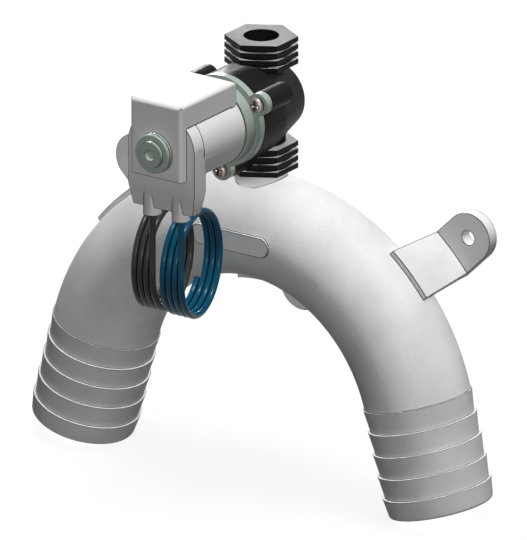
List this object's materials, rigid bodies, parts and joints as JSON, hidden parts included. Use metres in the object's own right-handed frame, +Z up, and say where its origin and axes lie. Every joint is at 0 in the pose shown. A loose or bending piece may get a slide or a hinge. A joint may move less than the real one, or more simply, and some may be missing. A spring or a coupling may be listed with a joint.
{
  "type": "vacuum solenoid valve",
  "caption": "Solenoid air valve on the crown of a rigid U-shaped hose loop with barbed tails, wall lugs and coiled lead wires.",
  "frame": {"origin": "midway between the two upper fixing holes, on the wall face of the lugs", "axes": "+X along the line of the two upper holes, +Y into the wall, +Z up towards the valve"},
  "size_m": [0.1922, 0.0985, 0.1665],
  "materials": {
    "loop_plastic": "white moulded plastic, fine grain",
    "tail_plastic": "light grey moulded plastic, fine grain",
    "valve_black": "black glass-filled plastic",
    "cover_plastic": "grey-green moulded plastic",
    "coil_plastic": "white overmoulding",
    "core_plastic": "natural engineering plastic",
    "seal_rubber": "black nitrile rubber",
    "magnetic_steel": "turned magnetic stainless steel",
    "spring_steel": "stainless spring wire",
    "screw_steel": "stainless, bright",
    "copper_wire": "enamelled copper wire",
    "terminal_brass": "bright",
    "blue_insulation": "extruded vinyl insulation",
    "black_insulation": "extruded vinyl insulation"
  },
  "bodies": {
    "loop": {"bend": "loop_plastic", "left_hose_tail": "tail_plastic", "right_hose_tail": "tail_plastic", "left_lug": "loop_plastic", "right_lug": "loop_plastic", "lower_lug": "loop_plastic", "port_oring": "seal_rubber", "valve_body": "valve_black", "diaphragm": "seal_rubber", "cover": "cover_plastic", "cover_screws": "screw_steel", "fixed_core": "magnetic_steel", "plunger_spring": "spring_steel", "coil_washer": "cover_plastic", "retaining_cap": "cover_plastic"},
    "coil": {"bobbin": "core_plastic", "winding": "copper_wire", "coil_moulding": "coil_plastic", "magnet_yoke": "magnetic_steel", "yoke_cap": "coil_plastic", "terminal_pins": "terminal_brass", "blue_lead": "blue_insulation", "blue_lead_coil": "blue_insulation", "black_lead": "black_insulation", "black_lead_coil": "black_insulation"},
    "plunger": {"plunger": "magnetic_steel", "plunger_seal": "seal_rubber"},
    "diaphragm_core": {"diaphragm_core": "core_plastic"}
  },
  "joints": [
    {"name": "coil_swivel", "type": "hinge", "parent": "loop", "child": "coil", "pos_m": [0, -0.0297, 0.0442], "axis": [0, -1, 0], "range_deg": [-90, 90]},
    {"name": "plunger_slide", "type": "slide", "parent": "loop", "child": "plunger", "axis": [0, -1, 0], "range_m": [0, 0.0024], "stiffness_N_per_m": 300, "springref_m": -0.004, "deforming": ["plunger_spring"]},
    {"name": "diaphragm_lift", "type": "slide", "parent": "loop", "child": "diaphragm_core", "axis": [0, -1, 0], "range_m": [0, 0.0018], "deforming": ["diaphragm"]}
  ],
  "couplings": [
    {"joint": "diaphragm_lift", "follows": "plunger_slide", "ratio": 0.75}
  ]
}
